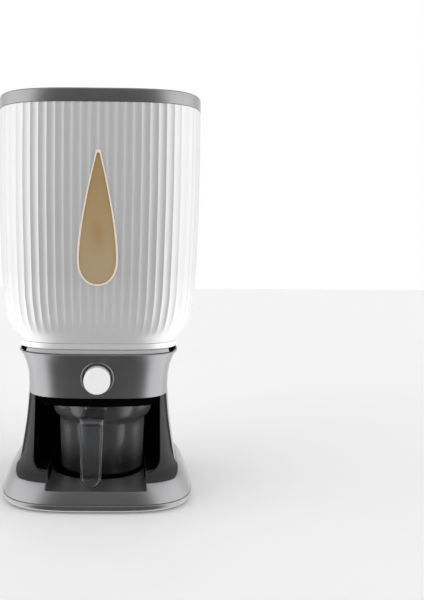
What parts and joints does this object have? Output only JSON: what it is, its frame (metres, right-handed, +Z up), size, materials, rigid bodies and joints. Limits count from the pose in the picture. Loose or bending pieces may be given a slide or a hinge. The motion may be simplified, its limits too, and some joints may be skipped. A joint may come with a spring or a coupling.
{
  "type": "cereal dispenser",
  "caption": "Countertop dry-food dispenser: fluted rounded-square hopper with teardrop window and lid, on a waisted base with a push button over a cup bay.",
  "frame": {"origin": "centre of the footprint, on the surface the feet stand on", "axes": "+Z up, -Y towards the user (button, window and cup), +X to the right as seen from the front turned to face +Y"},
  "size_m": [0.191, 0.1918, 0.372],
  "materials": {
    "grey_satin": "satin moulded plastic with a soft sheen",
    "dark_grey": "matte moulded plastic",
    "black_plastic": "smooth moulded plastic",
    "white_plastic": "smooth moulded food-grade plastic",
    "frosted_plastic": "smooth moulded food-grade plastic, slightly frosted",
    "light_grey": "smooth moulded plastic",
    "gate_plastic": "slippery moulded plastic",
    "cream_trim": "moulded bead",
    "tan_lens": "translucent tinted plastic",
    "clear_plastic": "clear moulded plastic, polished",
    "spring_steel": "drawn wire",
    "screw_steel": "zinc-plated",
    "gasket_rubber": "soft seal",
    "foot_rubber": "non-slip pad"
  },
  "bodies": {
    "base": {"body_housing": "grey_satin", "bay_frame": "dark_grey", "bay_liner": "black_plastic", "seat_ring": "light_grey", "gate_deck": "black_plastic", "gate_cover": "white_plastic", "outlet_chute": "white_plastic", "rod_guide": "black_plastic", "button_bezel": "grey_satin", "plinth": "grey_satin", "base_plate": "grey_satin", "cup_seat": "black_plastic", "foot_1": "foot_rubber", "foot_2": "foot_rubber", "foot_3": "foot_rubber", "foot_4": "foot_rubber", "base_screw_1": "screw_steel", "base_screw_2": "screw_steel", "base_screw_3": "screw_steel", "base_screw_4": "screw_steel", "deck_screw_1": "screw_steel", "deck_screw_2": "screw_steel", "deck_screw_3": "screw_steel", "deck_screw_4": "screw_steel"},
    "button": {"button_cap": "white_plastic", "push_rod": "gate_plastic", "gate_plate": "gate_plastic", "return_spring": "spring_steel"},
    "hopper": {"hopper_shell": "frosted_plastic", "hopper_collar": "white_plastic", "hopper_funnel": "white_plastic", "window_trim": "cream_trim", "window_lens": "tan_lens"},
    "lid": {"lid_cover": "grey_satin", "lid_plug": "white_plastic", "lid_gasket": "gasket_rubber"},
    "cup": {"measuring_cup": "clear_plastic"}
  },
  "joints": [
    {"name": "button_press", "type": "slide", "parent": "base", "child": "button", "axis": [0, 1, 0], "range_m": [0, 0.012], "stiffness_N_per_m": 300, "springref_m": -0.01, "deforming": ["return_spring"]},
    {"name": "hopper_lift", "type": "slide", "parent": "base", "child": "hopper", "axis": [0, 0, 1], "range_m": [0, 0.12]},
    {"name": "lid_lift", "type": "slide", "parent": "hopper", "child": "lid", "axis": [0, 0, 1], "range_m": [0, 0.08]},
    {"name": "cup_slide", "type": "slide", "parent": "base", "child": "cup", "axis": [0, -1, 0], "range_m": [0, 0.15]}
  ]
}
